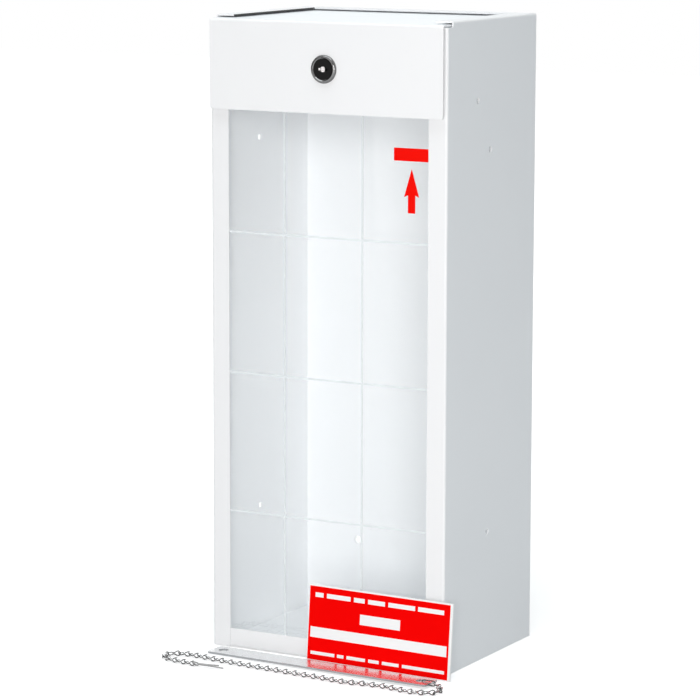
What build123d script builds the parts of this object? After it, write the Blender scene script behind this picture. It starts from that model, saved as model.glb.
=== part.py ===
from build123d import *
from math import asin, cos, degrees, hypot, radians, sin
import os

# Wall cabinet for a fire extinguisher, in millimetres, standing on its base.
# X runs to the right, Y runs to the wall and Z runs up. The origin lies on the
# floor, below the middle of the body's width and depth.

# Body, a welded box of thin sheet steel
BODY_WIDTH = 210.0
BODY_DEPTH = 152.0
BODY_HEIGHT = 508.0
SHEET = 1.2
BEND_RADIUS = 2.0
STILE_WIDTH = 16.0
RAIL_HEIGHT = 15.5
FLANGE_WIDTH = 16.0
SEAM = 0.2
NOTCH_DEPTH = 9.0
NOTCH_HEIGHT = 4.5

# Holes in the body
WALL_HOLE_DIAMETER = 6.5
WALL_HOLE_SPACING = 110.0
WALL_HOLE_FROM_END = 63.0
SIDE_HOLE_DIAMETER = 5.0
SIDE_HOLE_FROM_FRONT = 73.0
SIDE_HOLE_FROM_END = 102.0
COVER_HOLE_FROM_FRONT = 51.0
COVER_HOLE_FROM_TOP = 63.0

# Slide-off cover, an angle of the same sheet
COVER_REACH = 4.5
COVER_DROP = 71.0
COVER_SIDE_GAP = 0.4
COVER_BACK_GAP = 1.0
COVER_TOP_GAP = 1.3
COVER_CORNER = 2.0
RUNNER_GAP = 0.3
RUNNER_WIDTH = 9.0
RUNNER_HEIGHT = 9.0
RUNNER_FROM_END = 20.0

# Scored break-in pane and what holds it
PANE_THICKNESS = 1.5
PANE_BEHIND_COVER = 16.9
PANE_SIDE_GAP = 0.8
PANE_FIT = 0.2
PANE_COLUMN = 69.5
PANE_ROWS = 4
PANE_LEFT_COLUMN = 65.0
SCORE_WIDTH = 0.9
SCORE_DEPTH = 0.4
GUIDE_LEG = 9.0
GUIDE_START = 24.0
GUIDE_BELOW_RAIL = 12.5

# Cam lock
LOCK_FROM_COVER_EDGE = 34.5
LOCK_FLANGE_DIAMETER = 22.0
LOCK_FLANGE_HEIGHT = 2.4
LOCK_FACE_DIAMETER = 17.0
LOCK_BODY_DIAMETER = 18.0
LOCK_BODY_LENGTH = 15.0
LOCK_HOLE_FIT = 0.1
PLUG_HEAD_DIAMETER = 16.4
PLUG_HEAD_DEPTH = 1.6
PLUG_DIAMETER = 11.0
PLUG_FIT = 0.25
PLUG_TAIL = 1.2
KEYWAY_LENGTH = 8.0
KEYWAY_WIDTH = 1.8
KEYWAY_DEPTH = 9.0
NUT_WIDTH = 24.0
NUT_HEIGHT = 3.0
CAM_WIDTH = 13.0
CAM_REACH = 30.0
CAM_THICKNESS = 1.6
CAM_SCREW_DIAMETER = 8.0
CAM_SCREW_HEIGHT = 3.0
RAIL_CAM_GAP = 1.0
LOCK_RAIL_HEIGHT = 20.0
LOCK_RAIL_FROM_COVER_EDGE = 2.0

# Sign plate leaning on the foot of the cabinet, turned a little so that one corner rests on the pane
SIGN_WIDTH = 131.0
SIGN_HEIGHT = 61.0
SIGN_THICKNESS = 1.5
SIGN_LEAN = 5.0
SIGN_TURN = -2.2
SIGN_OVERHANG = 10.8
SIGN_GAP = 0.25

# Striker bar lying before the cabinet
BAR_LENGTH = 204.0
BAR_WIDTH = 20.0
BAR_THICKNESS = 1.6
BAR_END_RADIUS = 2.5
BAR_HOLE_DIAMETER = 8.0
BAR_HOLE_INSET = 9.5
BAR_LEFT = 11.0
BAR_AHEAD = 17.4
BAR_TURN = -3.2

# Long link through the bar's right hole and round its end
END_WIRE = 1.0
END_GAP = 0.6
END_LENGTH = 12.0
END_INSET = 1.0
END_RUNS = 6
END_SIDES = 8
HANG_GAP = 0.85

# Jack chain of figure-eight wire links
WIRE = 1.0
WIRE_GAP = 0.1
WIRE_LEVEL = 0.8
WIRE_SIDES = 6
LINK_HALF_LENGTH = 5.2
LOOP_HALF_LENGTH = 2.2
LOOP_HALF_WIDTH = 2.1
LOOP_LEAN = 45.0
LOOP_SWEEP = 250.0
LOOP_RUNS = 6
LINK_SLACK = 0.7
CHAIN_ROUTE = [
    (118, -108), (124, -117), (123, -126), (112, -132), (96, -131), (81, -128), (64, -129),
    (48, -132), (28, -130), (-4, -128), (-38, -126), (-72, -123), (-98, -119), (-108, -120),
    (-115, -124), (-118, -131), (-114, -137), (-106, -140), (-88, -142), (-77, -143),
]

# Split pin on the chain's free end
PIN_WIRE = 1.4
PIN_LENGTH = 24.0
PIN_SHORT_LEG = 3.0
PIN_EYE = 4.8
PIN_SPREAD = 1.7
PIN_HEADING = 3.0
PIN_SLACK = 0.4
EYE_RUNS = 7
PIN_SIDES = 8

os.makedirs("parts", exist_ok=True)

# Planes and places worked out from the sizes above
left = -BODY_WIDTH / 2
right = BODY_WIDTH / 2
front = -BODY_DEPTH / 2
back = BODY_DEPTH / 2
inner_half = BODY_WIDTH / 2 - SHEET
notch_floor = BODY_HEIGHT - NOTCH_HEIGHT
cover_top = BODY_HEIGHT - SHEET - COVER_TOP_GAP
cover_bottom = cover_top - COVER_DROP
cover_front = front - COVER_REACH
cover_half = inner_half - COVER_SIDE_GAP
cover_back = back - SHEET - COVER_BACK_GAP
pane_front = front + SHEET + PANE_FIT
pane_back = pane_front + PANE_THICKNESS
pane_bottom = SHEET + PANE_FIT
pane_half = inner_half - PANE_SIDE_GAP
pane_height = cover_bottom + PANE_BEHIND_COVER - pane_bottom
lock_height = cover_bottom + LOCK_FROM_COVER_EDGE
rail_bottom = cover_bottom + LOCK_RAIL_FROM_COVER_EDGE


def save(piece, name):
    """Label a finished piece and write it to its own file."""
    piece.part.label = name
    export_step(piece.part, f"parts/{name}.step")


def side_panel(side):
    """One side of the body with its front stile and top flange bent inwards."""
    outer = side * BODY_WIDTH / 2
    inner = side * inner_half
    edge = side * (BODY_WIDTH / 2 - STILE_WIDTH)
    lip = side * (BODY_WIDTH / 2 - FLANGE_WIDTH)
    flange_end = back - FLANGE_WIDTH - SEAM
    with BuildPart() as panel:
        with BuildSketch(Plane.XY):
            with BuildLine():
                Polyline(
                    (outer, back), (outer, front), (edge, front), (edge, front + SHEET),
                    (inner, front + SHEET), (inner, back), close=True,
                )
            make_face()
        extrude(amount=BODY_HEIGHT)
        corner = panel.edges().filter_by(Axis.Z).filter_by(
            lambda e: abs(e.center().X - outer) < 0.01 and abs(e.center().Y - front) < 0.01
        )
        fillet(corner, BEND_RADIUS)
        root = panel.edges().filter_by(Axis.Z).filter_by(
            lambda e: abs(e.center().X - inner) < 0.01 and abs(e.center().Y - front - SHEET) < 0.01
        )
        fillet(root, BEND_RADIUS - SHEET)
        with BuildSketch(Plane.XZ.offset(-back)):
            with BuildLine():
                Polyline(
                    (outer, BODY_HEIGHT), (lip, BODY_HEIGHT), (lip, BODY_HEIGHT - SHEET),
                    (inner, BODY_HEIGHT - SHEET), (outer, BODY_HEIGHT - SHEET), close=True,
                )
            make_face()
        extrude(amount=BODY_DEPTH)
        with BuildSketch(Plane.XY.offset(BODY_HEIGHT - SHEET)):
            with Locations(((inner + lip) / 2, (flange_end + back) / 2)):
                Rectangle(abs(inner - lip), back - flange_end)
        extrude(amount=SHEET, mode=Mode.SUBTRACT)
        with BuildSketch(Plane.XY.offset(notch_floor)):
            with Locations((side * (BODY_WIDTH - STILE_WIDTH) / 2, front + NOTCH_DEPTH / 2)):
                Rectangle(STILE_WIDTH + 1, NOTCH_DEPTH)
        extrude(amount=NOTCH_HEIGHT, mode=Mode.SUBTRACT)
        top_edge = panel.edges().filter_by(Axis.Y).filter_by(
            lambda e: abs(e.center().X - outer) < 0.01 and abs(e.center().Z - BODY_HEIGHT) < 0.01
        )
        fillet(top_edge, BEND_RADIUS)
        holes = [
            (front + SIDE_HOLE_FROM_FRONT, SIDE_HOLE_FROM_END),
            (front + SIDE_HOLE_FROM_FRONT, BODY_HEIGHT - SIDE_HOLE_FROM_END),
            (front + COVER_HOLE_FROM_FRONT, BODY_HEIGHT - COVER_HOLE_FROM_TOP),
        ]
        with BuildSketch(Plane.YZ.offset(min(outer, inner))):
            with Locations(*holes):
                Circle(SIDE_HOLE_DIAMETER / 2)
        extrude(amount=SHEET, mode=Mode.SUBTRACT)
    return panel


left_side_panel = side_panel(-1)
save(left_side_panel, "left_side_panel")
right_side_panel = side_panel(1)
save(right_side_panel, "right_side_panel")

# Back of the body, its top bent forwards into a flange and four screw holes in it
with BuildPart() as back_panel:
    with BuildSketch(Plane.YZ.offset(-inner_half)):
        with BuildLine():
            Polyline(
                (back, SHEET), (back, BODY_HEIGHT), (back - FLANGE_WIDTH, BODY_HEIGHT),
                (back - FLANGE_WIDTH, BODY_HEIGHT - SHEET), (back - SHEET, BODY_HEIGHT - SHEET),
                (back - SHEET, SHEET), close=True,
            )
        make_face()
    extrude(amount=2 * inner_half)
    back_bend = back_panel.edges().filter_by(Axis.X).sort_by(Axis.Z).group_by(Axis.Z)[-1].sort_by(Axis.Y)[-1]
    fillet(back_bend, BEND_RADIUS)
    with BuildSketch(Plane.XZ.offset(-back)):
        with Locations((0, BODY_HEIGHT / 2)):
            with GridLocations(WALL_HOLE_SPACING, BODY_HEIGHT - 2 * WALL_HOLE_FROM_END, 2, 2):
                Circle(WALL_HOLE_DIAMETER / 2)
    extrude(amount=SHEET, mode=Mode.SUBTRACT)
save(back_panel, "back_panel")

# Bottom of the body, its front bent up into the rail below the pane
with BuildPart() as bottom_pan:
    with BuildSketch(Plane.XY):
        Rectangle(2 * inner_half, BODY_DEPTH - 2 * SHEET)
        with Locations((0, back - SHEET / 2)):
            Rectangle(2 * inner_half, SHEET)
    extrude(amount=SHEET)
    fillet(bottom_pan.edges().filter_by(Axis.Z).group_by(Axis.Y)[0], BEND_RADIUS)
    with BuildSketch(Plane.XZ.offset(-front)):
        with Locations((0, RAIL_HEIGHT / 2)):
            Rectangle(BODY_WIDTH - 2 * STILE_WIDTH - 2 * SEAM, RAIL_HEIGHT)
    extrude(amount=-SHEET)
    pan_bend = bottom_pan.edges().filter_by(Axis.X).group_by(Axis.Z)[0].sort_by(Axis.Y)[0]
    fillet(pan_bend, BEND_RADIUS)
save(bottom_pan, "bottom_pan")


def pane_guide(side):
    """An angle on one side panel that keeps the pane against its stile."""
    wall = side * inner_half
    behind = pane_back + PANE_FIT
    with BuildPart() as guide:
        with BuildSketch(Plane.XY.offset(GUIDE_START)):
            with BuildLine():
                Polyline(
                    (wall, behind), (wall - side * GUIDE_LEG, behind),
                    (wall - side * GUIDE_LEG, behind + SHEET), (wall - side * SHEET, behind + SHEET),
                    (wall - side * SHEET, behind + GUIDE_LEG), (wall, behind + GUIDE_LEG), close=True,
                )
            make_face()
        extrude(amount=rail_bottom - GUIDE_BELOW_RAIL - GUIDE_START)
    return guide


left_pane_guide = pane_guide(-1)
save(left_pane_guide, "left_pane_guide")
right_pane_guide = pane_guide(1)
save(right_pane_guide, "right_pane_guide")


def cover_runner(side):
    """An angle under the cover's top sheet that the cover slides on."""
    wall = side * inner_half
    seat = cover_top - SHEET - RUNNER_GAP
    with BuildPart() as runner:
        with BuildSketch(Plane.XZ.offset(-front - RUNNER_FROM_END)):
            with BuildLine():
                Polyline(
                    (wall, seat), (wall - side * RUNNER_WIDTH, seat),
                    (wall - side * RUNNER_WIDTH, seat - SHEET), (wall - side * SHEET, seat - SHEET),
                    (wall - side * SHEET, seat - RUNNER_HEIGHT), (wall, seat - RUNNER_HEIGHT), close=True,
                )
            make_face()
        extrude(amount=-(BODY_DEPTH - 2 * RUNNER_FROM_END))
    return runner


left_cover_runner = cover_runner(-1)
save(left_cover_runner, "left_cover_runner")
right_cover_runner = cover_runner(1)
save(right_cover_runner, "right_cover_runner")

# Clear pane, scored on its back face so that it breaks into small pieces
with BuildPart() as break_pane:
    with BuildSketch(Plane.XY.offset(pane_bottom)):
        with Locations((0, (pane_front + pane_back) / 2)):
            Rectangle(2 * pane_half, PANE_THICKNESS)
    extrude(amount=pane_height)
    with BuildSketch(Plane.XZ.offset(-pane_back)):
        with Locations(
            (left + SHEET + PANE_LEFT_COLUMN, pane_bottom + pane_height / 2),
            (left + SHEET + PANE_LEFT_COLUMN + PANE_COLUMN, pane_bottom + pane_height / 2),
        ):
            Rectangle(SCORE_WIDTH, pane_height)
        for row in range(1, PANE_ROWS):
            with Locations((0, row * pane_height / PANE_ROWS)):
                Rectangle(2 * pane_half, SCORE_WIDTH)
    extrude(amount=SCORE_DEPTH, mode=Mode.SUBTRACT)
save(break_pane, "break_pane")

# Cover, bent from one sheet: the top slides under the flanges and the front hangs before them
with BuildPart() as cover:
    with BuildSketch(Plane.YZ.offset(-cover_half)):
        with BuildLine():
            Polyline(
                (cover_front, cover_bottom), (cover_front, cover_top), (cover_back, cover_top),
                (cover_back, cover_top - SHEET), (cover_front + SHEET, cover_top - SHEET),
                (cover_front + SHEET, cover_bottom), close=True,
            )
        make_face()
    extrude(amount=2 * cover_half)
    nose = cover.edges().filter_by(Axis.X).group_by(Axis.Z)[-1].sort_by(Axis.Y)[0]
    fillet(nose, BEND_RADIUS)
    nose_root = cover.edges().filter_by(Axis.X).filter_by(
        lambda e: abs(e.center().Z - cover_top + SHEET) < 0.01 and abs(e.center().Y - cover_front - SHEET) < 0.01
    )
    fillet(nose_root, BEND_RADIUS - SHEET)
    fillet(cover.edges().filter_by(Axis.Y).group_by(Axis.Z)[0], COVER_CORNER)
    with BuildSketch(Plane.XZ.offset(-cover_front)):
        with Locations((0, lock_height)):
            Circle(LOCK_BODY_DIAMETER / 2 + LOCK_HOLE_FIT)
    extrude(amount=-SHEET, mode=Mode.SUBTRACT)
save(cover, "cover")

# Cam lock, turned about an axis along Y through the cover's front
lock_axis = Axis((0, 0, lock_height), (0, 1, 0))
lock_nose = cover_front - LOCK_FLANGE_HEIGHT
body_end = cover_front + LOCK_BODY_LENGTH
plug_seat = lock_nose + PLUG_HEAD_DEPTH
flange_r = LOCK_FLANGE_DIAMETER / 2
face_r = LOCK_FACE_DIAMETER / 2
lock_r = LOCK_BODY_DIAMETER / 2
plug_r = PLUG_DIAMETER / 2
bore_r = plug_r + PLUG_FIT

with BuildPart() as lock_body:
    with BuildSketch(Plane.YZ):
        with BuildLine():
            Polyline(
                (cover_front, lock_height + flange_r), (cover_front, lock_height + lock_r),
                (body_end, lock_height + lock_r), (body_end, lock_height + bore_r),
                (plug_seat + PLUG_FIT, lock_height + bore_r), (plug_seat + PLUG_FIT, lock_height + face_r),
                (lock_nose + 0.6, lock_height + face_r), (lock_nose, lock_height + face_r + 0.6),
            )
            ThreePointArc(
                (lock_nose, lock_height + face_r + 0.6),
                (lock_nose + 0.5, lock_height + flange_r - 0.5),
                (cover_front, lock_height + flange_r),
            )
        make_face()
    revolve(axis=lock_axis)
save(lock_body, "lock_body")

with BuildPart() as lock_nut:
    with BuildSketch(Plane.XZ.offset(-cover_front - SHEET)):
        with Locations((0, lock_height)):
            RegularPolygon(NUT_WIDTH / 2, 6, major_radius=False)
            Circle(lock_r + LOCK_HOLE_FIT, mode=Mode.SUBTRACT)
    extrude(amount=-NUT_HEIGHT)
    chamfer(lock_nut.edges().filter_by(GeomType.LINE).group_by(Axis.Y)[-1], 0.5)
save(lock_nut, "lock_nut")

plug_end = body_end + PLUG_TAIL
with BuildPart() as lock_plug:
    with BuildSketch(Plane.YZ):
        with BuildLine():
            Polyline(
                (lock_nose + 0.5, lock_height), (lock_nose + 0.5, lock_height + PLUG_HEAD_DIAMETER / 2),
                (plug_seat, lock_height + PLUG_HEAD_DIAMETER / 2), (plug_seat, lock_height + plug_r),
                (plug_end, lock_height + plug_r), (plug_end, lock_height), close=True,
            )
        make_face()
    revolve(axis=lock_axis)
    with BuildSketch(Plane.XZ.offset(-lock_nose)):
        with Locations((0, lock_height)):
            Rectangle(KEYWAY_LENGTH, KEYWAY_WIDTH)
    extrude(amount=-KEYWAY_DEPTH, mode=Mode.SUBTRACT)
save(lock_plug, "lock_plug")

with BuildPart() as lock_cam:
    with BuildSketch(Plane.XZ.offset(-plug_end)):
        with Locations((0, lock_height)):
            Circle(CAM_WIDTH / 2)
        with Locations(((CAM_REACH - CAM_WIDTH / 2) / 2, lock_height)):
            Rectangle(CAM_REACH - CAM_WIDTH / 2, CAM_WIDTH)
        with Locations((CAM_REACH - CAM_WIDTH / 2, lock_height)):
            Circle(CAM_WIDTH / 2)
    extrude(amount=-CAM_THICKNESS)
save(lock_cam, "lock_cam")

cam_back = plug_end + CAM_THICKNESS
with BuildPart() as cam_screw:
    with BuildSketch(Plane.XZ.offset(-cam_back)):
        with Locations((0, lock_height)):
            RegularPolygon(CAM_SCREW_DIAMETER / 2, 6, major_radius=False)
    extrude(amount=-CAM_SCREW_HEIGHT)
    chamfer(cam_screw.edges().filter_by(GeomType.LINE).group_by(Axis.Y)[-1], 0.5)
save(cam_screw, "cam_screw")

# Cross rail behind the pane's top: it backs the pane, and the turned-down cam catches behind it
rail_back = plug_end - RAIL_CAM_GAP
with BuildPart() as lock_rail:
    with BuildSketch(Plane.YZ.offset(-inner_half)):
        with BuildLine():
            Polyline(
                (pane_back + PANE_FIT, rail_bottom), (rail_back, rail_bottom),
                (rail_back, rail_bottom + LOCK_RAIL_HEIGHT), (rail_back - SHEET, rail_bottom + LOCK_RAIL_HEIGHT),
                (rail_back - SHEET, rail_bottom + SHEET), (pane_back + PANE_FIT, rail_bottom + SHEET), close=True,
            )
        make_face()
    extrude(amount=2 * inner_half)
save(lock_rail, "lock_rail")

# Sign plate, its foot on the floor and its upper left corner against the pane
sign_lean = radians(SIGN_LEAN)
sign_turn = radians(SIGN_TURN)
sign_foot = pane_front - SIGN_GAP - SIGN_HEIGHT * sin(sign_lean) - SIGN_THICKNESS * cos(sign_lean)
sign_left = right + SIGN_OVERHANG - SIGN_WIDTH
sign_plane = Plane(
    origin=(sign_left, sign_foot, SIGN_THICKNESS * sin(sign_lean)),
    x_dir=(cos(sign_turn), sin(sign_turn), 0),
    z_dir=(sin(sign_turn) * cos(sign_lean), -cos(sign_turn) * cos(sign_lean), sin(sign_lean)),
)
with BuildPart() as sign_plate:
    with BuildSketch(sign_plane):
        with Locations((SIGN_WIDTH / 2, SIGN_HEIGHT / 2)):
            Rectangle(SIGN_WIDTH, SIGN_HEIGHT)
    extrude(amount=-SIGN_THICKNESS)
save(sign_plate, "sign_plate")

# One wire link: two loops at right angles, the wire crossing itself between them
crossing = WIRE / 2 + WIRE_GAP
loop_middle = LINK_HALF_LENGTH - LOOP_HALF_LENGTH
link_axis_height = LOOP_HALF_WIDTH * sin(radians(LOOP_LEAN)) + WIRE / 2
link_pitch = 2 * LINK_HALF_LENGTH - WIRE - LINK_SLACK


def wire_through(route, size, sides):
    """A wire of a few flat sides along straight runs that meet in mitres."""
    with BuildPart() as wire:
        with BuildLine() as middle:
            Polyline(*route)
        with BuildSketch(Plane(origin=middle.line @ 0, z_dir=middle.line % 0)):
            RegularPolygon(size / 2, sides)
        sweep(path=middle.line, transition=Transition.RIGHT)
    return wire


def loop_point(turn):
    """A point of the wire's middle line on the front loop, turn degrees round from its far end."""
    along = loop_middle + LOOP_HALF_LENGTH * cos(radians(turn))
    aside = LOOP_HALF_WIDTH * sin(radians(turn))
    return (along, aside * cos(radians(LOOP_LEAN)), aside * sin(radians(LOOP_LEAN)))


loop_turns = [LOOP_SWEEP * (step / LOOP_RUNS - 0.5) for step in range(LOOP_RUNS + 1)]
loop_points = [loop_point(turn) for turn in loop_turns]
first_x, first_y, first_z = loop_points[0]
reach = WIRE_LEVEL / hypot(first_x, first_y)
half_route = [
    (0, 0, -crossing),
    (first_x * reach, first_y * reach, -crossing),
    *loop_points,
    (first_x * reach, -first_y * reach, crossing),
    (0, 0, crossing),
]
half_link = wire_through(half_route, WIRE, WIRE_SIDES)

with BuildPart() as link:
    with PolarLocations(0, 2):
        add(half_link.part)

# Striker bar: its right end rests on the lower run of the long link
bar_reach = BAR_LENGTH - BAR_HOLE_INSET
bar_rise = (END_WIRE + END_GAP) / bar_reach
bar_aim = Vector(cos(radians(BAR_TURN)), sin(radians(BAR_TURN)), bar_rise)
bar_up = Vector(-bar_rise * cos(radians(BAR_TURN)), -bar_rise * sin(radians(BAR_TURN)), 1)
bar_end = Vector(left + BAR_LEFT, front - BAR_AHEAD, 0)
bar_plane = Plane(origin=bar_end, x_dir=bar_aim, z_dir=bar_up)
with BuildPart() as striker_bar:
    with BuildSketch(bar_plane):
        with Locations((BAR_LENGTH / 2, 0)):
            Rectangle(BAR_LENGTH, BAR_WIDTH)
        fillet(vertices(), BAR_END_RADIUS)
        with Locations((BAR_HOLE_INSET, 0), (bar_reach, 0)):
            Circle(BAR_HOLE_DIAMETER / 2, mode=Mode.SUBTRACT)
    extrude(amount=BAR_THICKNESS)
save(striker_bar, "striker_bar")

# Long link: an upright oval, one run over the bar's end and one under it
end_bow = (BAR_THICKNESS + END_WIRE) / 2 + END_GAP
end_straight = END_LENGTH / 2 - end_bow
end_route = [(0, end_bow, 0)]
for step in range(END_RUNS + 1):
    turn = radians(90 - 180 * step / END_RUNS)
    end_route.append((end_straight + end_bow * cos(turn), end_bow * sin(turn), 0))
end_route.append((0, -end_bow, 0))
half_end = wire_through(end_route, END_WIRE, END_SIDES)
end_middle = bar_end + bar_aim * (bar_reach + END_INSET + END_LENGTH / 2) + bar_up * BAR_THICKNESS / 2
with BuildPart() as end_link:
    with Locations(Plane(origin=end_middle, x_dir=bar_aim, z_dir=bar_aim.cross(bar_up))):
        with PolarLocations(0, 2):
            add(half_end.part)
save(end_link, "end_link")


def joints_along(route, first, pitch):
    """Points one link's pitch apart along straight runs over the floor, starting at first."""
    joints = [first]
    for start, end in zip(route, route[1:]):
        run = Vector(*end) - Vector(*start)
        while True:
            back_off = Vector(*start) - joints[-1]
            half_b = back_off.dot(run) / run.dot(run)
            inside = half_b**2 - (back_off.dot(back_off) - pitch**2) / run.dot(run)
            share = -half_b + max(inside, 0) ** 0.5
            if share > 1 or inside < 0:
                break
            joints.append(Vector(*start) + run * share)
    return joints


# Chain: it starts at the long link's far end, and each link reaches from one joint to the next
hang_point = end_middle + bar_aim * END_LENGTH / 2
outward = (Vector(*CHAIN_ROUTE[0]) - Vector(hang_point.X, hang_point.Y)).normalized()
first_joint = Vector(hang_point.X, hang_point.Y) - outward * ((END_WIRE - LINK_SLACK) / 2 + HANG_GAP)
floor_joints = joints_along([(first_joint.X, first_joint.Y), *CHAIN_ROUTE], first_joint, link_pitch)
joints = [Vector(joint.X, joint.Y, link_axis_height) for joint in floor_joints]
link_places = [
    Plane(origin=(start + end) / 2, x_dir=end - start, z_dir=(0, 0, 1)) for start, end in zip(joints, joints[1:])
]
with BuildPart() as jack_chain:
    with Locations(*link_places):
        add(link.part)
save(jack_chain, "jack_chain")

# Split pin hung on the last link: an eye and two legs of the same folded wire
pin_gap = (PIN_WIRE + WIRE_GAP) / 2
eye_r = PIN_EYE / 2
eye_turn = degrees(asin(pin_gap / eye_r))
eye_points = []
for step in range(EYE_RUNS + 1):
    turn = radians(eye_turn + (360 - 2 * eye_turn) * step / EYE_RUNS)
    eye_points.append((eye_r * cos(turn), eye_r * sin(turn), 0))
pin_route = [
    (PIN_LENGTH, PIN_SPREAD, 0),
    (PIN_LENGTH / 2, pin_gap, 0),
    *eye_points,
    (PIN_LENGTH / 2, -pin_gap, 0),
    (PIN_LENGTH - PIN_SHORT_LEG, -PIN_SPREAD, 0),
]
pin_wire = wire_through(pin_route, PIN_WIRE, PIN_SIDES)
pin_middle = joints[-1] + Vector(1, 0, 0).rotate(Axis.Z, PIN_HEADING) * (eye_r - WIRE / 2 - PIN_SLACK)
with BuildPart() as split_pin:
    with Locations(Location(pin_middle, (0, 0, PIN_HEADING))):
        with Locations(Location((0, 0, 0), (-LOOP_LEAN, 0, 0))):
            add(pin_wire.part)
save(split_pin, "split_pin")
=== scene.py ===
"""Looks of a wall cabinet for a fire extinguisher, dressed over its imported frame.

Sizes are in metres in the cabinet's own frame: X to the right, Y to the wall, Z up, the floor at zero.
"""

import logging
import math
from dataclasses import dataclass, field
from enum import Enum
from typing import Iterable, Sequence

import bpy
from mathutils import Matrix, Vector, geometry


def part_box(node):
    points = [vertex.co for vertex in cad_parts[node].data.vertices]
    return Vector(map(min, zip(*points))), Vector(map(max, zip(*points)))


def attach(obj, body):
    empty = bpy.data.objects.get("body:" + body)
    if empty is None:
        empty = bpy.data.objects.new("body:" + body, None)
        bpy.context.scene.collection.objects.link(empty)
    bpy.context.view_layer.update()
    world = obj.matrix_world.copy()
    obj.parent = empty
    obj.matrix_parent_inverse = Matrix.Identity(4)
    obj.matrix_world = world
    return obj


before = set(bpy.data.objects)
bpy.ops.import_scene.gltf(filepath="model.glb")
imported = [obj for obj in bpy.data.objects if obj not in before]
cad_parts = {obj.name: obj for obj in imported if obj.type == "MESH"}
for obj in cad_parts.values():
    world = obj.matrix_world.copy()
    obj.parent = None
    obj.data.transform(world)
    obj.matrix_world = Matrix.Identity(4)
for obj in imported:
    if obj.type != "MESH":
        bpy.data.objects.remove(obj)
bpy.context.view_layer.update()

MM = 0.001

log = logging.getLogger("cabinet")

Span = tuple[float, float]
Point = tuple[float, float, float]
Colour = tuple[float, float, float, float]


class Body(Enum):
    """The bodies that the added pieces ride on."""

    CABINET = "cabinet"
    LOCK = "lock"


class Slot(Enum):
    """Names of two material slots, which nothing in this script uses."""

    CHROME = "lock_chrome"
    SIGN = "sign_red"


def grey(level: float) -> Colour:
    """A grey of that level as a shader colour."""
    return (level, level, level, 1.0)


class Graph:
    """A node tree with short calls to add nodes and to join them."""

    def __init__(self, tree: bpy.types.NodeTree) -> None:
        """Starts on an empty tree.

        Args:
            tree: the tree of a material, a world or a group.
        """
        self.tree = tree
        tree.nodes.clear()

    def add(self, kind: str, values: dict[str, object] | None = None, **settings: object) -> bpy.types.Node:
        """Adds one node.

        Args:
            kind: the node's type name.
            values: default values by socket name.
            settings: properties of the node itself.

        Returns:
            The new node.
        """
        node = self.tree.nodes.new(kind)
        for name, value in settings.items():
            setattr(node, name, value)
        for name, value in (values or {}).items():
            node.inputs[name].default_value = value
        return node

    def join(self, start: bpy.types.NodeSocket, end: bpy.types.NodeSocket) -> None:
        """Joins an output socket to an input socket."""
        self.tree.links.new(start, end)

    def point(self) -> bpy.types.NodeSocket:
        """The shaded point in its object's own space."""
        return self.add("ShaderNodeTexCoord").outputs["Object"]

    def split(self, vector: bpy.types.NodeSocket) -> dict[str, bpy.types.NodeSocket]:
        """Splits a vector.

        Args:
            vector: the vector's socket.

        Returns:
            The sockets of its X, Y and Z by their letters.
        """
        node = self.add("ShaderNodeSeparateXYZ")
        self.join(vector, node.inputs["Vector"])
        return {letter: node.outputs[letter] for letter in "XYZ"}

    def maths(self, operation: str, first: object, second: object = 0.0) -> bpy.types.NodeSocket:
        """Adds one sum of two values, each a socket or a number.

        Args:
            operation: the Math node's operation.
            first: the first value.
            second: the second value.

        Returns:
            The result's socket.
        """
        node = self.add("ShaderNodeMath", operation=operation)
        for socket, value in zip(node.inputs, (first, second)):
            if isinstance(value, bpy.types.NodeSocket):
                self.join(value, socket)
            else:
                socket.default_value = value
        return node.outputs[0]

    def blend(self, mask: bpy.types.NodeSocket, low: object, high: object) -> bpy.types.NodeSocket:
        """Mixes two colours by a mask.

        Args:
            mask: 0 gives the first colour and 1 the second.
            low: the first colour, or its socket.
            high: the second colour, or its socket.

        Returns:
            The mixed colour's socket.
        """
        node = self.add("ShaderNodeMix", data_type="RGBA")
        self.join(mask, node.inputs["Factor"])
        for socket, value in ((node.inputs[6], low), (node.inputs[7], high)):
            if isinstance(value, bpy.types.NodeSocket):
                self.join(value, socket)
            else:
                socket.default_value = value
        return node.outputs[2]

    def between(self, mask: bpy.types.NodeSocket, low: float, high: float) -> bpy.types.NodeSocket:
        """Spreads a mask from 0 to 1 over a range of values.

        Args:
            mask: the mask's socket.
            low: the value at 0.
            high: the value at 1.

        Returns:
            The value's socket.
        """
        node = self.add("ShaderNodeMapRange", {"To Min": low, "To Max": high})
        self.join(mask, node.inputs["Value"])
        return node.outputs["Result"]

    def emboss(self, height: bpy.types.NodeSocket, depth: float, shader: bpy.types.Node) -> None:
        """Gives a shader's face the relief of a height.

        Args:
            height: the height's socket, from 0 to 1.
            depth: how far in metres 1 lies over 0.
            shader: the shader's node.
        """
        bump = self.add("ShaderNodeBump", {"Distance": depth, "Strength": 1.0})
        self.join(height, bump.inputs["Height"])
        self.join(bump.outputs["Normal"], shader.inputs["Normal"])


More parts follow.
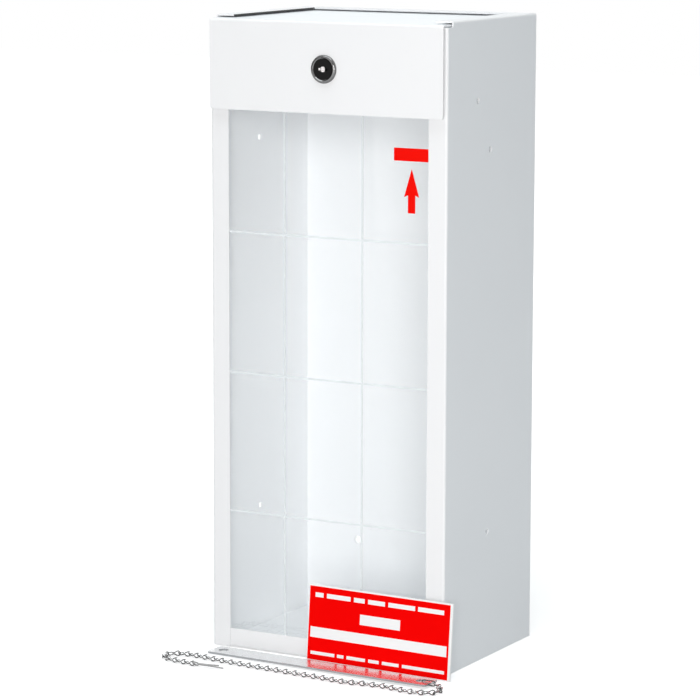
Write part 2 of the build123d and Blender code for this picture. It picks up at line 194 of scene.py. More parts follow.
class Group(Graph):
    """The tree of a node group with float sockets."""

    def __init__(self, name: str, inputs: dict[str, float], outputs: Sequence[str]) -> None:
        """Makes an empty group, with its input and output nodes in place.

        Args:
            name: the group's name.
            inputs: default values by socket name.
            outputs: names of the output sockets.
        """
        super().__init__(bpy.data.node_groups.new(name, "ShaderNodeTree"))
        sockets = self.tree.interface
        for socket_name, value in inputs.items():
            socket = sockets.new_socket(socket_name, in_out="INPUT", socket_type="NodeSocketFloat")
            socket.default_value = value
        for socket_name in outputs:
            sockets.new_socket(socket_name, in_out="OUTPUT", socket_type="NodeSocketFloat")
        self.start = self.add("NodeGroupInput")
        self.end = self.add("NodeGroupOutput")

    def given(self, name: str) -> bpy.types.NodeSocket:
        """The value that the group is given under a name."""
        return self.start.outputs[name]

    def give(self, value: bpy.types.NodeSocket, name: str) -> None:
        """Puts a value out of the group under a name."""
        self.join(value, self.end.inputs[name])


class Effects:
    """The shared surface effects, each one a node group that is built once."""

    def __init__(self) -> None:
        """Builds every group."""
        self.grain = self._grain()
        self.clouds = self._clouds()
        self.dust = self._dust()
        self.brushed = self._brushed()
        self.within = self._within()
        self.facing = self._facing()
        self.painted_gap_shade = self._painted_gap_shade()

    def _grain(self) -> bpy.types.NodeTree:
        """Makes the fine lumps of a sprayed or moulded skin.

        Returns:
            A group that puts out a height.
        """
        group = Group("Fine grain", {"Scale": 900.0, "Detail": 2.0}, ("Height",))
        noise = group.add("ShaderNodeTexNoise", {"Roughness": 0.45})
        group.join(group.point(), noise.inputs["Vector"])
        group.join(group.given("Scale"), noise.inputs["Scale"])
        group.join(group.given("Detail"), noise.inputs["Detail"])
        group.give(noise.outputs["Fac"], "Height")
        return group.tree

    def _clouds(self) -> bpy.types.NodeTree:
        """Makes wide soft patches.

        Returns:
            A group that puts out a mask from 0 to 1.
        """
        group = Group("Soft patches", {"Scale": 9.0}, ("Mask",))
        noise = group.add("ShaderNodeTexNoise", {"Detail": 3.0, "Roughness": 0.5})
        group.join(group.point(), noise.inputs["Vector"])
        group.join(group.given("Scale"), noise.inputs["Scale"])
        spread = group.add("ShaderNodeMapRange", {"From Min": 0.3, "From Max": 0.7})
        group.join(noise.outputs["Fac"], spread.inputs["Value"])
        group.give(spread.outputs["Result"], "Mask")
        return group.tree

    def _dust(self) -> bpy.types.NodeTree:
        """Scatters specks of dust.

        Returns:
            A group that puts out a mask, 1 in a speck.
        """
        group = Group("Dust specks", {"Scale": 160.0, "Size": 0.06}, ("Mask",))
        cells = group.add("ShaderNodeTexVoronoi", {"Randomness": 1.0})
        group.join(group.point(), cells.inputs["Vector"])
        group.join(group.given("Scale"), cells.inputs["Scale"])
        group.give(group.maths("LESS_THAN", cells.outputs["Distance"], group.given("Size")), "Mask")
        return group.tree

    def _within(self) -> bpy.types.NodeTree:
        """Marks what lies between the cabinet's walls, for painted light, and what lies on their outer sides,
        for painted shade.

        Returns:
            A group that puts out a mask of 0 or 1 for each.
        """
        sizes = {
            "Half width": 103.95 * MM,
            "Half depth": 74.95 * MM,
            "Foot": 1.1 * MM,
            "Head": 506.9 * MM,
            "Outer half": 104.9 * MM,
        }
        group = Group("Within the walls", sizes, ("Mask", "Sides"))
        place = group.split(group.point())
        aside = group.maths("ABSOLUTE", place["X"])
        behind = group.maths("ABSOLUTE", place["Y"])
        wide = group.maths("LESS_THAN", aside, group.given("Half width"))
        deep = group.maths("LESS_THAN", behind, group.given("Half depth"))
        high = group.maths("GREATER_THAN", place["Z"], group.given("Foot"))
        low = group.maths("LESS_THAN", place["Z"], group.given("Head"))
        around = group.maths("MULTIPLY", wide, deep)
        level = group.maths("MULTIPLY", high, low)
        group.give(group.maths("MULTIPLY", around, level), "Mask")
        group.give(group.maths("GREATER_THAN", aside, group.given("Outer half")), "Sides")
        return group.tree

    def _painted_gap_shade(self) -> bpy.types.NodeTree:
        """Marks the left flange's cut edge, which takes painted shade for the shade of the gap under the
        flange.

        Returns:
            A group that puts out a mask of 0 or 1.
        """
        sizes = {"Lip": -89.0 * MM, "Reach": 0.06 * MM, "Foot": 506.0 * MM}
        group = Group("Flange lip", sizes, ("Mask",))
        place = group.split(group.point())
        off = group.maths("ABSOLUTE", group.maths("SUBTRACT", place["X"], group.given("Lip")))
        near = group.maths("LESS_THAN", off, group.given("Reach"))
        high = group.maths("GREATER_THAN", place["Z"], group.given("Foot"))
        group.give(group.maths("MULTIPLY", near, high), "Mask")
        return group.tree

    def _facing(self) -> bpy.types.NodeTree:
        """Marks faces that look up; the other faces take painted shade.

        Returns:
            A group that puts out a mask of 0 or 1.
        """
        group = Group("Looking up", {"Least": 0.5}, ("Mask",))
        skin = group.add("ShaderNodeNewGeometry")
        normal = group.split(skin.outputs["Normal"])
        group.give(group.maths("GREATER_THAN", normal["Z"], group.given("Least")), "Mask")
        return group.tree

    def _brushed(self) -> bpy.types.NodeTree:
        """Draws fine lines along X.

        Returns:
            A group that puts out a height.
        """
        group = Group("Brushed lines", {"Across": 2600.0, "Along": 30.0}, ("Height",))
        place = group.split(group.point())
        drawn = group.add("ShaderNodeCombineXYZ")
        for letter, pitch in (("X", "Along"), ("Y", "Across"), ("Z", "Across")):
            group.join(group.maths("MULTIPLY", place[letter], group.given(pitch)), drawn.inputs[letter])
        noise = group.add("ShaderNodeTexNoise", {"Scale": 1.0, "Detail": 2.0})
        group.join(drawn.outputs["Vector"], noise.inputs["Vector"])
        group.give(noise.outputs["Fac"], "Height")
        return group.tree


@dataclass(frozen=True)
class Surface:
    """A finish with a colour that drifts, a fine skin, a little dust, and where given painted light and
    shade.

    Attributes:
        name: the material's name.
        colour: the main colour.
        drift: the colour of the softer patches.
        rough: roughness in the main colour and in the patches.
        metal: the metallic value.
        grain_scale: lumps of the skin to the metre.
        grain_depth: height of the skin in metres.
        brushed: lines along X in place of lumps.
        dust: colour of the dust specks, or None.
        specular: specular level of a finish that isn't metal.
        painted_inner_light: painted light, a lighter and bluer colour within the cabinet's walls that stands
            in for light going to and fro between them, or None.
        sides: painted shade, a darker and bluer colour on the cabinet's outer sides that stands in for how
            the light falls on them, given with the painted inner light.
        edge: painted shade, a darker colour on faces that don't look up, as on a bar's edge or a wire's
            flanks, or None.
        painted_gap_shade: painted shade, a near-black colour on the left flange's cut edge that stands in for
            the shade of the gap under it, or None.
    """

    name: str
    colour: Colour
    drift: Colour
    rough: Span
    metal: float = 0.0
    grain_scale: float = 900.0
    grain_depth: float = 0.00002
    brushed: bool = False
    dust: Colour | None = None
    specular: float = 0.5
    painted_inner_light: Colour | None = None
    sides: Colour | None = None
    edge: Colour | None = None
    painted_gap_shade: Colour | None = None

    def make(self, effects: Effects) -> bpy.types.Material:
        """Builds the material.

        Args:
            effects: the shared effect groups.

        Returns:
            The finished material.
        """
        material = bpy.data.materials.new(self.name)
        material.use_nodes = True
        graph = Graph(material.node_tree)
        shader = graph.add("ShaderNodeBsdfPrincipled", {
            "Metallic": self.metal, "Specular IOR Level": self.specular,
        })
        out = graph.add("ShaderNodeOutputMaterial")
        graph.join(shader.outputs["BSDF"], out.inputs["Surface"])
        patches = graph.add("ShaderNodeGroup", node_tree=effects.clouds)
        graph.join(self._tint(graph, effects, patches.outputs["Mask"]), shader.inputs["Base Color"])
        graph.join(graph.between(patches.outputs["Mask"], *self.rough), shader.inputs["Roughness"])
        skin = graph.add("ShaderNodeGroup", node_tree=effects.brushed if self.brushed else effects.grain)
        if not self.brushed:
            skin.inputs["Scale"].default_value = self.grain_scale
        graph.emboss(skin.outputs["Height"], self.grain_depth, shader)
        return material

    def _tint(self, graph: Graph, effects: Effects, patches: bpy.types.NodeSocket) -> bpy.types.NodeSocket:
        """Mixes the finish's colours with any painted light and shade that it is given.

        Args:
            graph: the material's graph.
            effects: the shared effect groups.
            patches: the mask of the softer patches.

        Returns:
            The colour's socket.
        """
        colour = graph.blend(patches, self.colour, self.drift)
        if self.painted_inner_light is not None:
            walls = graph.add("ShaderNodeGroup", node_tree=effects.within)
            # Painted light within the walls.
            colour = graph.blend(walls.outputs["Mask"], colour, self.painted_inner_light)
            # Painted shade on the cabinet's outer sides.
            colour = graph.blend(walls.outputs["Sides"], colour, self.sides)
        # Painted shade on the left flange's cut edge.
        if self.painted_gap_shade is not None:
            shade = graph.add("ShaderNodeGroup", node_tree=effects.painted_gap_shade)
            colour = graph.blend(shade.outputs["Mask"], colour, self.painted_gap_shade)
        # Painted shade on faces that don't look up.
        if self.edge is not None:
            facing = graph.add("ShaderNodeGroup", node_tree=effects.facing)
            colour = graph.blend(facing.outputs["Mask"], self.edge, colour)
        if self.dust is not None:
            specks = graph.add("ShaderNodeGroup", node_tree=effects.dust)
            colour = graph.blend(specks.outputs["Mask"], colour, self.dust)
        return colour


@dataclass(frozen=True)
class ClearPane:
    """Clear acrylic sheet, frosted on the front face where it is scored.

    Attributes:
        tint: colour of the clear sheet.
        index: its refractive index.
        wave_scale: shallow waves of the sheet to the metre.
        wave_depth: their height in metres.
        groove_tint: colour of the frosted strip over each groove.
        groove_cover: share of the strip that hides what is behind it.
        groove_width: width of that strip.
        groove_rough: roughness of the clear share of the strip.
        face_depth: how far behind the front face the strip still shows.
    """

    tint: Colour = (0.995, 0.999, 0.999, 1.0)
    index: float = 1.4
    wave_scale: float = 25.0
    wave_depth: float = 0.000008
    groove_tint: Colour = (0.83, 0.865, 0.88, 1.0)
    groove_cover: float = 0.8
    groove_width: float = 1.5 * MM
    groove_rough: float = 0.2
    face_depth: float = 0.1 * MM

    def make(
        self, effects: Effects, columns: Iterable[float], rows: Iterable[float], face: float,
    ) -> bpy.types.Material:
        """Builds the material.

        Args:
            effects: the shared effect groups.
            columns: X of each upright groove.
            rows: Z of each level groove.
            face: Y of the sheet's front face.

        Returns:
            The finished material.
        """
        material = bpy.data.materials.new("clear acrylic")
        material.use_nodes = True
        graph = Graph(material.node_tree)
        groove = self._grooves(graph, columns, rows, face)
        shader = graph.add("ShaderNodeBsdfPrincipled", {
            "Base Color": self.tint, "IOR": self.index, "Transmission Weight": 1.0, "Metallic": 0.0,
        })
        graph.join(graph.between(groove, 0.0, self.groove_rough), shader.inputs["Roughness"])
        waves = {"Scale": self.wave_scale, "Detail": 1.0}
        skin = graph.add("ShaderNodeGroup", waves, node_tree=effects.grain)
        graph.emboss(skin.outputs["Height"], self.wave_depth, shader)
        frost = graph.add("ShaderNodeBsdfDiffuse", {"Color": self.groove_tint})
        scored = graph.add("ShaderNodeMixShader")
        graph.join(graph.maths("MULTIPLY", groove, self.groove_cover), scored.inputs["Fac"])
        graph.join(shader.outputs["BSDF"], scored.inputs[1])
        graph.join(frost.outputs["BSDF"], scored.inputs[2])
        see_through = graph.add("ShaderNodeBsdfTransparent", {"Color": self.tint})
        path = graph.add("ShaderNodeLightPath")
        soft_ray = graph.maths("MAXIMUM", path.outputs["Is Shadow Ray"], path.outputs["Is Diffuse Ray"])
        either = graph.add("ShaderNodeMixShader")
        graph.join(soft_ray, either.inputs["Fac"])
        graph.join(scored.outputs["Shader"], either.inputs[1])
        graph.join(see_through.outputs["BSDF"], either.inputs[2])
        out = graph.add("ShaderNodeOutputMaterial")
        graph.join(either.outputs["Shader"], out.inputs["Surface"])
        return material

    def _grooves(
        self, graph: Graph, columns: Iterable[float], rows: Iterable[float], face: float,
    ) -> bpy.types.NodeSocket:
        """Marks the strips over the grooves on the front face.

        Args:
            graph: the material's graph.
            columns: X of each upright groove.
            rows: Z of each level groove.
            face: Y of the sheet's front face.

        Returns:
            A mask's socket, 1 in a strip.
        """
        place = graph.split(graph.point())
        upright = self._strips(graph, place["X"], columns)
        level = self._strips(graph, place["Z"], rows)
        near = graph.maths("LESS_THAN", place["Y"], face + self.face_depth)
        return graph.maths("MULTIPLY", graph.maths("MAXIMUM", upright, level), near)

    def _strips(self, graph: Graph, along: bpy.types.NodeSocket, middles: Iterable[float]) -> object:
        """Marks strips that lie across one coordinate.

        Args:
            graph: the material's graph.
            along: the coordinate across the strips.
            middles: each strip's middle.

        Returns:
            A mask's socket, 1 in a strip.
        """
        total: object = 0.0
        for middle in middles:
            off = graph.maths("ABSOLUTE", graph.maths("SUBTRACT", along, middle))
            near = graph.maths("LESS_THAN", off, self.groove_width / 2)
            total = graph.maths("MAXIMUM", total, near)
        return total


class Finishes:
    """Every material of the cabinet but the clear pane's, made once."""

    def __init__(self) -> None:
        """Builds the shared effects and the plain finishes."""
        self.effects = Effects()
        self.paint = Surface(
            "white powder coat", (0.885, 0.883, 0.892, 1.0), (0.877, 0.876, 0.885, 1.0), (0.34, 0.42),
            grain_scale=1400.0, grain_depth=0.000012, dust=(0.82, 0.84, 0.85, 1.0),
            # Painted light within the walls, and painted shade on the outer sides and on the left flange's
            # cut edge.
            painted_inner_light=(0.95, 0.964, 0.98, 1.0), sides=(0.852, 0.88, 0.905, 1.0), painted_gap_shade=grey(0.02),
        ).make(self.effects)
        self.chrome = Surface(
            "polished chrome", grey(0.17), grey(0.13), (0.05, 0.12), metal=1.0, grain_depth=0.000001,
        ).make(self.effects)
        self.lock_face = Surface(
            "dark lock face", grey(0.012), grey(0.008), (0.2, 0.3), grain_depth=0.000004, specular=0.06,
        ).make(self.effects)
        self.keyway = Surface(
            "keyway metal", (0.8, 0.75, 0.75, 1.0), grey(0.7), (0.3, 0.4), metal=0.6, grain_depth=0.000004,
        ).make(self.effects)
        self.cam = Surface(
            "zinc plate", (0.6, 0.6, 0.57, 1.0), (0.52, 0.53, 0.5, 1.0), (0.28, 0.45), metal=1.0,
            grain_scale=1600.0, grain_depth=0.00001,
        ).make(self.effects)
        self.sign_white = Surface(
            "white sign edge", grey(0.93), grey(0.91), (0.25, 0.3), grain_depth=0.000004,
        ).make(self.effects)
        self.sign_red = Surface(
            "red sign face", (0.97, 0.002, 0.001, 1.0), (0.94, 0.001, 0.001, 1.0), (0.2, 0.28),
            grain_depth=0.000004, specular=0.01,
        ).make(self.effects)
        self.pane_red = Surface(
            "red screen print", (0.95, 0.008, 0.004, 1.0), (0.92, 0.006, 0.003, 1.0), (0.3, 0.4),
            grain_depth=0.000004, specular=0.01,
        ).make(self.effects)
        self.bar = Surface(
            "bright bar steel", (0.89, 0.905, 0.915, 1.0), (0.85, 0.863, 0.873, 1.0), (0.17, 0.25), metal=0.9,
            # Painted shade on the bar's edges, the faces that don't look up.
            grain_depth=0.00003, brushed=True, edge=(0.36, 0.37, 0.38, 1.0),
        ).make(self.effects)
        self.wire = Surface(
            "bright chain wire", grey(0.62), grey(0.45), (0.16, 0.3), metal=1.0, grain_scale=1200.0,
            # Painted shade on the wire's faces that don't look up.
            grain_depth=0.00001, edge=grey(0.075),
        ).make(self.effects)
        self.pin = Surface(
            "split pin wire", grey(0.6), grey(0.52), (0.2, 0.3), metal=1.0, grain_scale=1200.0,
            # Painted shade on the pin's faces that don't look up.
            grain_depth=0.00001, edge=grey(0.36),
        ).make(self.effects)


def dress(node: str, material: bpy.types.Material) -> None:
    """Gives one CAD node its material.

    Args:
        node: the node's name.
        material: its finish.
    """
    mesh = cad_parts[node].data
    mesh.materials.clear()
    mesh.materials.append(material)
    log.info("%s dressed", node)


def add_plate(
    name: str, outline: Sequence[Point], lift: Vector, material: bpy.types.Material, body: Body,
) -> None:
    """Adds a thin closed plate in the cabinet's frame, as a piece that rides on a body.

    Args:
        name: the piece's name.
        outline: corners of the plate's foot, in order.
        lift: from the foot to the top face.
        material: its finish.
        body: the body it rides on.
    """
    foot = [Vector(corner) for corner in outline]
    if geometry.normal(foot).dot(lift) < 0:
        foot.reverse()
    count = len(foot)
    head = [corner + lift for corner in foot]
    edges = [(start, (start + 1) % count) for start in range(count)]
    sides = [(start, end, end + count, start + count) for start, end in edges]
    faces = [tuple(reversed(range(count))), tuple(range(count, 2 * count)), *sides]
    mesh = bpy.data.meshes.new(name)
    mesh.from_pydata(foot + head, [], faces)
    mesh.materials.append(material)
    piece = bpy.data.objects.new(name, mesh)
    bpy.context.scene.collection.objects.link(piece)
    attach(piece, body.value)
    log.info("%s added", name)


def oblong(across: Span, upright: Span) -> list[Span]:
    """Corners of an oblong.

    Args:
        across: its left and right ends.
        upright: its foot and head.

    Returns:
        The four corners in order.
    """
    (left, right), (low, high) = across, upright
    return [(left, low), (right, low), (right, high), (left, high)]


@dataclass
class PaintedSheets:
    """The painted body and its cover."""

    finishes: Finishes

    def build(self) -> None:
        """Gives the painted sheets their finish."""
        for node in (
            "left_side_panel", "right_side_panel", "back_panel", "bottom_pan", "left_pane_guide",
            "right_pane_guide", "left_cover_runner", "right_cover_runner", "lock_rail", "cover",
        ):
            dress(node, self.finishes.paint)


@dataclass
class BreakPane:
    """The scored clear pane and the red mark printed on it.

    Attributes:
        finishes: the materials.
        columns: distance of each upright groove from the body's left side.
        row_pitch: distance between level grooves, from the floor.
        row_count: number of level grooves.
        arrow_x: middle of the arrow.
        arrow_tip: height of the arrow's tip.
        arrow_length: from its tip to its foot.
        head_length: from its tip to the head's lower corners.
        head_width: width of the head.
        head_notch: how far the head's foot rises from its corners to the shaft.
        shaft_width: width of the shaft.
        band: left and right ends of the band over the arrow.
        band_heights: its foot and head.
        ink: thickness of the print.
    """

    finishes: Finishes
    columns: Span = (66.2 * MM, 135.7 * MM)
    row_pitch: float = 112.5 * MM
    row_count: int = 3
    arrow_x: float = 73.9 * MM
    arrow_tip: float = 395.3 * MM
    arrow_length: float = 34.3 * MM
    head_length: float = 22.0 * MM
    head_width: float = 13.2 * MM
    head_notch: float = 1.6 * MM
    shaft_width: float = 6.4 * MM
    band: Span = (58.4 * MM, 97.0 * MM)
    band_heights: Span = (401.0 * MM, 411.0 * MM)
    ink: float = 0.04 * MM

    def build(self) -> None:
        """Dresses the pane and prints its mark."""
        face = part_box("break_pane")[0].y
        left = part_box("left_side_panel")[0].x
        columns = [left + column for column in self.columns]
        rows = [self.row_pitch * step for step in range(1, self.row_count + 1)]
        dress("break_pane", ClearPane().make(self.finishes.effects, columns, rows, face))
        self._print("pane_arrow", self._arrow(), face)
        self._print("pane_band", oblong(self.band, self.band_heights), face)

    def _arrow(self) -> list[Span]:
        """Draws the arrow.

        Returns:
            Its outline, X and Z of each corner.
        """
        base = self.arrow_tip - self.head_length
        foot = self.arrow_tip - self.arrow_length
        notch = base + self.head_notch
        half_shaft = self.shaft_width / 2
        half_head = self.head_width / 2
        right = [(half_head, base), (half_shaft, notch), (half_shaft, foot)]
        left = [(-x, z) for x, z in reversed(right)]
        return [(self.arrow_x + x, z) for x, z in [(0.0, self.arrow_tip), *right, *left]]

    def _print(self, name: str, outline: list[Span], face: float) -> None:
        """Adds one printed shape, just proud of the pane.

        Args:
            name: the piece's name.
            outline: X and Z of each corner.
            face: Y of the pane's front face.
        """
        corners = [(x, face, z) for x, z in outline]
        lift = Vector((0, -self.ink, 0))
        add_plate(name, corners, lift, self.finishes.pane_red, Body.CABINET)


@dataclass
class SignPlate:
    """The red plate with a white edge and plain white bars.

    Attributes:
        finishes: the materials.
        width: the plate's width.
        thickness: its thickness.
        lean: how far its head leans to the pane, in radians.
        turn: how far it is turned about Z, in radians.
        ink: thickness of the print.
        face: ends of the red face, in millimetres from the plate's left end.
        face_heights: foot and head of the red face, in millimetres from the plate's foot.
        rows: foot and head of each row of bars, and the ends of each bar in it, in the same way.
        across: direction along the plate's foot.
        out: direction out of its face.
        up: direction up its face.
        corner: the lower left corner of its face.
    """

    finishes: Finishes
    width: float = 131 * MM
    thickness: float = 1.5 * MM
    lean: float = math.radians(5.0)
    turn: float = math.radians(-2.2)
    ink: float = 0.05 * MM
    face: Span = (0.8, 128.8)
    face_heights: Span = (0.8, 59.7)
    rows: tuple[tuple[Span, tuple[Span, ...]], ...] = (
        ((51.2, 54.8), (
            (6.0, 13.5), (16.6, 38.5), (41.6, 51.5), (54.6, 70.0), (73.1, 97.3), (100.0, 123.3),
        )),
        ((34.0, 42.2), ((47.9, 84.5),)),
        ((18.8, 27.2), ((2.8, 127.0),)),
        ((5.1, 7.7), (
            (3.8, 26.0), (28.5, 34.5), (37.3, 54.3), (57.3, 66.9), (69.8, 85.0), (88.0, 125.8),
        )),
    )
    across: Vector = field(init=False)
    out: Vector = field(init=False)
    up: Vector = field(init=False)
    corner: Vector = field(init=False)

    def __post_init__(self) -> None:
        """Works out how the plate lies from its box in the frame."""
        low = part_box("sign_plate")[0]
        level = math.cos(self.lean)
        self.across = Vector((math.cos(self.turn), math.sin(self.turn), 0))
        self.out = Vector((math.sin(self.turn) * level, -math.cos(self.turn) * level, math.sin(self.lean)))
        self.up = self.out.cross(self.across)
        foot_y = low.y - self.width * math.sin(self.turn)
        self.corner = Vector((low.x, foot_y, self.thickness * math.sin(self.lean)))

    def build(self) -> None:
        """Dresses the plate and prints its face, with a gap between each bar and the next."""
        dress("sign_plate", self.finishes.sign_white)
        self._plate("sign_face", self.face, self.face_heights, 0.0, self.finishes.sign_red)
        bars = [(span, heights) for heights, spans in self.rows for span in spans]
        for number, (span, heights) in enumerate(bars, 1):
            self._plate(f"sign_bar_{number:02d}", span, heights, self.ink, self.finishes.sign_white)

    def _plate(
        self, name: str, span: Span, heights: Span, lift: float, material: bpy.types.Material,
    ) -> None:
        """Adds one thin oblong on the plate's face.

        Args:
            name: the piece's name.
            span: distances of its ends from the plate's left end, in millimetres.
            heights: distances of its foot and head from the plate's foot, in millimetres.
            lift: height of its foot over the plate's face.
            material: its finish.
        """
        foot = self.corner + self.out * lift
        corners = [tuple(foot + self.across * x * MM + self.up * z * MM) for x, z in oblong(span, heights)]
        add_plate(name, corners, self.out * self.ink, material, Body.CABINET)


@dataclass
class CamLock:
    """The chrome lock in the cover.

    Attributes:
        finishes: the materials.
        shutter: left and right ends of the keyway's bright shutter, from the lock's middle.
        core: left and right ends of its bright core.
        strip_half: half the height of both.
        slot_half: half the height of the dark slot between the collar's halves.
        collar: the collar's radius.
        collar_steps: sides of each half's curve.
        sunk: how far the shutter and the core lie behind the plug's face.
        thickness: thickness of the bright parts.
        middle: middle of the plug's face.
    """

    finishes: Finishes
    shutter: Span = (-3.9 * MM, -2.1 * MM)
    core: Span = (-1.7 * MM, 1.5 * MM)
    strip_half: float = 0.85 * MM
    slot_half: float = 0.95 * MM
    collar: float = 2.1 * MM
    collar_steps: int = 16
    sunk: float = 0.3 * MM
    thickness: float = 0.06 * MM
    middle: Vector = field(init=False)

    def __post_init__(self) -> None:
        """Finds the middle of the plug's face."""
        low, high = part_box("lock_plug")
        self.middle = Vector(((low.x + high.x) / 2, low.y, (low.z + high.z) / 2))

    def build(self) -> None:
        """Dresses the lock's pieces and adds the keyway's bright parts."""
        dress("lock_body", self.finishes.chrome)
        dress("lock_plug", self.finishes.lock_face)
        for node in ("lock_nut", "lock_cam", "cam_screw"):
            dress(node, self.finishes.cam)
        for name, span in (("keyway_shutter", self.shutter), ("keyway_core", self.core)):
            self._plate(name, oblong(span, (-self.strip_half, self.strip_half)), self.sunk)
        for name, sign in (("keyway_collar_upper", 1.0), ("keyway_collar_lower", -1.0)):
            self._plate(name, self._half_moon(sign), -self.thickness)

    def _half_moon(self, sign: float) -> list[Span]:
        """Half a disc above or below the keyway's slot.

        Args:
            sign: 1 for the upper half and -1 for the lower.

        Returns:
            Its outline about the lock's middle.
        """
        start = math.asin(self.slot_half / self.collar)
        sweep = math.pi - 2 * start
        angles = [start + sweep * step / self.collar_steps for step in range(self.collar_steps + 1)]
        return [(self.collar * math.cos(angle), sign * self.collar * math.sin(angle)) for angle in angles]

    def _plate(self, name: str, outline: list[Span], behind: float) -> None:
        """Adds one thin plate of keyway metal.

        Args:
            name: the piece's name.
            outline: its corners across and up from the lock's middle.
            behind: how far its front lies behind the plug's face.
        """
        place = self.middle + Vector((0, behind, 0))
        corners = [(place.x + x, place.y, place.z + z) for x, z in outline]
        lift = Vector((0, self.thickness, 0))
        add_plate(name, corners, lift, self.finishes.keyway, Body.LOCK)


@dataclass
class ChainAndBar:
    """The striker bar, its end link, the jack chain and the split pin."""

    finishes: Finishes

    def build(self) -> None:
        """Dresses the loose steel."""
        dress("striker_bar", self.finishes.bar)
        dress("end_link", self.finishes.chrome)
        dress("jack_chain", self.finishes.wire)
        dress("split_pin", self.finishes.pin)


def stand(item: bpy.types.Object, place: Point, aim: Point, front: str) -> None:
    """Puts an object on the stage, facing a point.

    Args:
        item: the object.
        place: where it stands.
        aim: the point it faces.
        front: the axis of its own that faces the point.
    """
    item.location = place
    item.rotation_euler = (Vector(aim) - Vector(place)).to_track_quat(front, "Y").to_euler()
    bpy.context.scene.collection.objects.link(item)


@dataclass(frozen=True)
class Lamp:
    """One square soft lamp.

    Attributes:
        name: the lamp's name.
        place: where it stands.
        aim: the point it faces.
        size: length of its side.
        power: its power in watts.
        colour: its colour.
    """

    name: str
    place: Point
    aim: Point
    size: float
    power: float
    colour: Point

    def build(self) -> None:
        """Adds the lamp to the scene."""
        lamp = bpy.data.lights.new(self.name, "AREA")
        lamp.size = self.size
        lamp.energy = self.power
        lamp.color = self.colour
        stand(bpy.data.objects.new(self.name, lamp), self.place, self.aim, "-Z")


@dataclass(frozen=True)
class Card:
    """A dark card that only mirroring surfaces see.

    Attributes:
        name: the card's name.
        place: its middle.
        aim: the point it faces.
        size: its width and height.
        level: its grey level.
    """

    name: str
    place: Point
    aim: Point
    size: Span
    level: float

    def build(self) -> None:
        """Adds the card to the scene."""
        wide, tall = self.size[0] / 2, self.size[1] / 2
        mesh = bpy.data.meshes.new(self.name)
        corners = [(x, y, 0) for x, y in oblong((-wide, wide), (-tall, tall))]
        mesh.from_pydata(corners, [], [(0, 1, 2, 3)])
        card = bpy.data.objects.new(self.name, mesh)
        stand(card, self.place, self.aim, "Z")
        for ray in ("camera", "diffuse", "shadow", "transmission"):
            setattr(card, f"visible_{ray}", False)
        material = bpy.data.materials.new(self.name)
        material.use_nodes = True
        graph = Graph(material.node_tree)
        plain = graph.add("ShaderNodeEmission", {"Color": grey(self.level), "Strength": 1.0})
        out = graph.add("ShaderNodeOutputMaterial")
        graph.join(plain.outputs["Emission"], out.inputs["Surface"])
        mesh.materials.append(material)


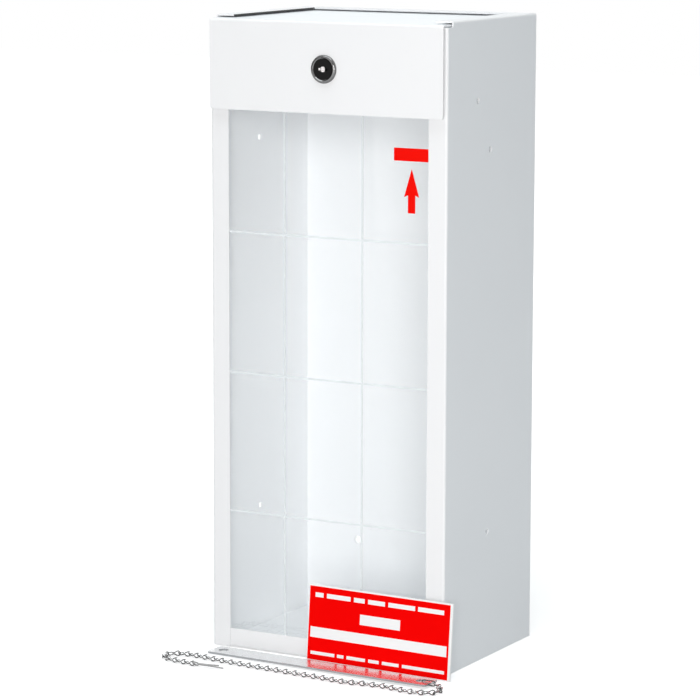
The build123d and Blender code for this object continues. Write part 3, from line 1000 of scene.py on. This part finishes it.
@dataclass
class Studio:
    """Floor, world, lamps and the photograph's camera.

    Attributes:
        camera_place: where the camera stands.
        turn: degrees it is turned to the left from looking along Y.
        dip: degrees it looks down.
        roll: degrees it is rolled.
        lens: its focal length, in millimetres.
        sensor: width of its sensor, in millimetres.
        clip_start: the nearest distance it sees.
        floor_size: length of the floor's side.
        floor_drop: how far the floor lies below zero.
        floor_level: the floor's own grey, which takes light and shadow.
        floor_grain: lumps of the floor's skin to the metre.
        floor_grain_depth: their height in metres.
        floor_glow: white added near the cabinet and far off, for the eye and reflections only.
        floor_fade: where the first gives way to the second.
        world_level: plain light from all round.
        world_tint: its colour.
        lamps: the lamps.
        cards: dark cards for what mirrors.
    """

    camera_place: Point = (1.2110, -2.2039, 0.6403)
    turn: float = 29.216
    dip: float = 9.067
    roll: float = 0.124
    lens: float = 163.1
    sensor: float = 36.0
    clip_start: float = 0.05
    floor_size: float = 12.0
    floor_drop: float = 0.3 * MM
    floor_level: float = 0.8
    floor_grain: float = 300.0
    floor_grain_depth: float = 0.00005
    floor_glow: Span = (0.5, 1.0)
    floor_fade: Span = (0.3, 1.6)
    world_level: float = 0.13
    world_tint: Point = (0.9, 0.97, 1.0)
    lamps: tuple[Lamp, ...] = (
        Lamp("front_lamp", (1.3, -2.4, 0.72), (0.0, 0.0, 0.25), 1.0, 36.0, (1.0, 0.985, 0.975)),
        Lamp("low_lamp", (0.8, -2.5, 0.3), (0.0, 0.0, 0.25), 0.6, 4.0, (1.0, 0.98, 0.965)),
        Lamp("left_lamp", (-0.7, -2.6, 0.6), (0.0, 0.0, 0.25), 1.2, 3.0, (1.0, 0.98, 0.965)),
        Lamp("top_lamp", (0.0, -0.3, 2.6), (0.0, 0.0, 0.0), 2.2, 48.0, (0.93, 0.98, 1.0)),
    )
    cards: tuple[Card, ...] = (
        Card("dark_card_front", (1.75, -3.15, 1.0), (0.0, 0.0, 0.2), (3.2, 1.9), 0.04),
        Card("dark_card_left", (-2.6, -1.2, 0.9), (0.0, 0.0, 0.2), (1.6, 1.6), 0.06),
    )

    def build(self) -> None:
        """Sets the stage."""
        self._floor()
        self._world()
        for item in (*self.lamps, *self.cards):
            item.build()
        self._camera()
        bpy.context.scene.view_settings.view_transform = "Standard"

    def _floor(self) -> None:
        """Adds a plain white floor that keeps the shadow."""
        side = (-self.floor_size / 2, self.floor_size / 2)
        mesh = bpy.data.meshes.new("studio_floor")
        mesh.from_pydata([(x, y, -self.floor_drop) for x, y in oblong(side, side)], [], [(0, 1, 2, 3)])
        floor = bpy.data.objects.new("studio_floor", mesh)
        bpy.context.scene.collection.objects.link(floor)
        mesh.materials.append(self._floor_white())

    def _floor_white(self) -> bpy.types.Material:
        """Builds the floor's finish, which the eye sees whiter than the lamps make it.

        Returns:
            The finished material.
        """
        material = bpy.data.materials.new("studio floor white")
        material.use_nodes = True
        graph = Graph(material.node_tree)
        matt = graph.add("ShaderNodeBsdfDiffuse", {"Color": grey(self.floor_level)})
        noise = graph.add("ShaderNodeTexNoise", {"Scale": self.floor_grain})
        graph.emboss(noise.outputs["Fac"], self.floor_grain_depth, matt)
        far = graph.add("ShaderNodeVectorMath", operation="LENGTH")
        graph.join(graph.point(), far.inputs[0])
        (near, wide), (low, high) = self.floor_fade, self.floor_glow
        limits = {"From Min": near, "From Max": wide, "To Min": low, "To Max": high}
        fade = graph.add("ShaderNodeMapRange", limits)
        graph.join(far.outputs["Value"], fade.inputs["Value"])
        strength = graph.maths("MULTIPLY", self._seen(graph), fade.outputs["Result"])
        glow = graph.add("ShaderNodeEmission")
        graph.join(strength, glow.inputs["Strength"])
        both = graph.add("ShaderNodeAddShader")
        graph.join(matt.outputs["BSDF"], both.inputs[0])
        graph.join(glow.outputs["Emission"], both.inputs[1])
        out = graph.add("ShaderNodeOutputMaterial")
        graph.join(both.outputs["Shader"], out.inputs["Surface"])
        return material

    def _seen(self, graph: Graph) -> bpy.types.NodeSocket:
        """Marks the rays of the eye, of mirrors and of clear sheets.

        Args:
            graph: the graph of the floor or the world.

        Returns:
            A mask's socket, 1 for those rays.
        """
        path = graph.add("ShaderNodeLightPath")
        seen = graph.maths("MAXIMUM", path.outputs["Is Camera Ray"], path.outputs["Is Glossy Ray"])
        return graph.maths("MAXIMUM", seen, path.outputs["Is Transmission Ray"])

    def _world(self) -> None:
        """Makes the world, white to the eye and in reflections, and a plain level of light on the rest."""
        world = bpy.data.worlds.new("studio")
        world.use_nodes = True
        graph = Graph(world.node_tree)
        plain = {"Color": (*self.world_tint, 1.0), "Strength": self.world_level}
        light = graph.add("ShaderNodeBackground", plain)
        white = graph.add("ShaderNodeBackground", {"Color": grey(1.0), "Strength": 1.0})
        either = graph.add("ShaderNodeMixShader")
        graph.join(self._seen(graph), either.inputs["Fac"])
        graph.join(light.outputs["Background"], either.inputs[1])
        graph.join(white.outputs["Background"], either.inputs[2])
        out = graph.add("ShaderNodeOutputWorld")
        graph.join(either.outputs["Shader"], out.inputs["Surface"])
        bpy.context.scene.world = world

    def _camera(self) -> None:
        """Adds the photograph's camera."""
        lens = bpy.data.cameras.new("photo_camera")
        lens.sensor_width = self.sensor
        lens.lens = self.lens
        lens.clip_start = self.clip_start
        camera = bpy.data.objects.new("photo_camera", lens)
        turn = Matrix.Rotation(math.radians(self.turn), 4, "Z")
        dip = Matrix.Rotation(math.radians(90.0 - self.dip), 4, "X")
        roll = Matrix.Rotation(math.radians(self.roll), 4, "Z")
        camera.matrix_world = Matrix.Translation(self.camera_place) @ turn @ dip @ roll
        bpy.context.scene.collection.objects.link(camera)
        bpy.context.scene.camera = camera


def main() -> None:
    """Builds every class in order."""
    logging.basicConfig(level=logging.INFO, format="%(name)s: %(message)s")
    finishes = Finishes()
    for part in (
        PaintedSheets(finishes), BreakPane(finishes), CamLock(finishes), SignPlate(finishes),
        ChainAndBar(finishes), Studio(),
    ):
        part.build()
        log.info("%s built", type(part).__name__)


if __name__ == "__main__":
    main()
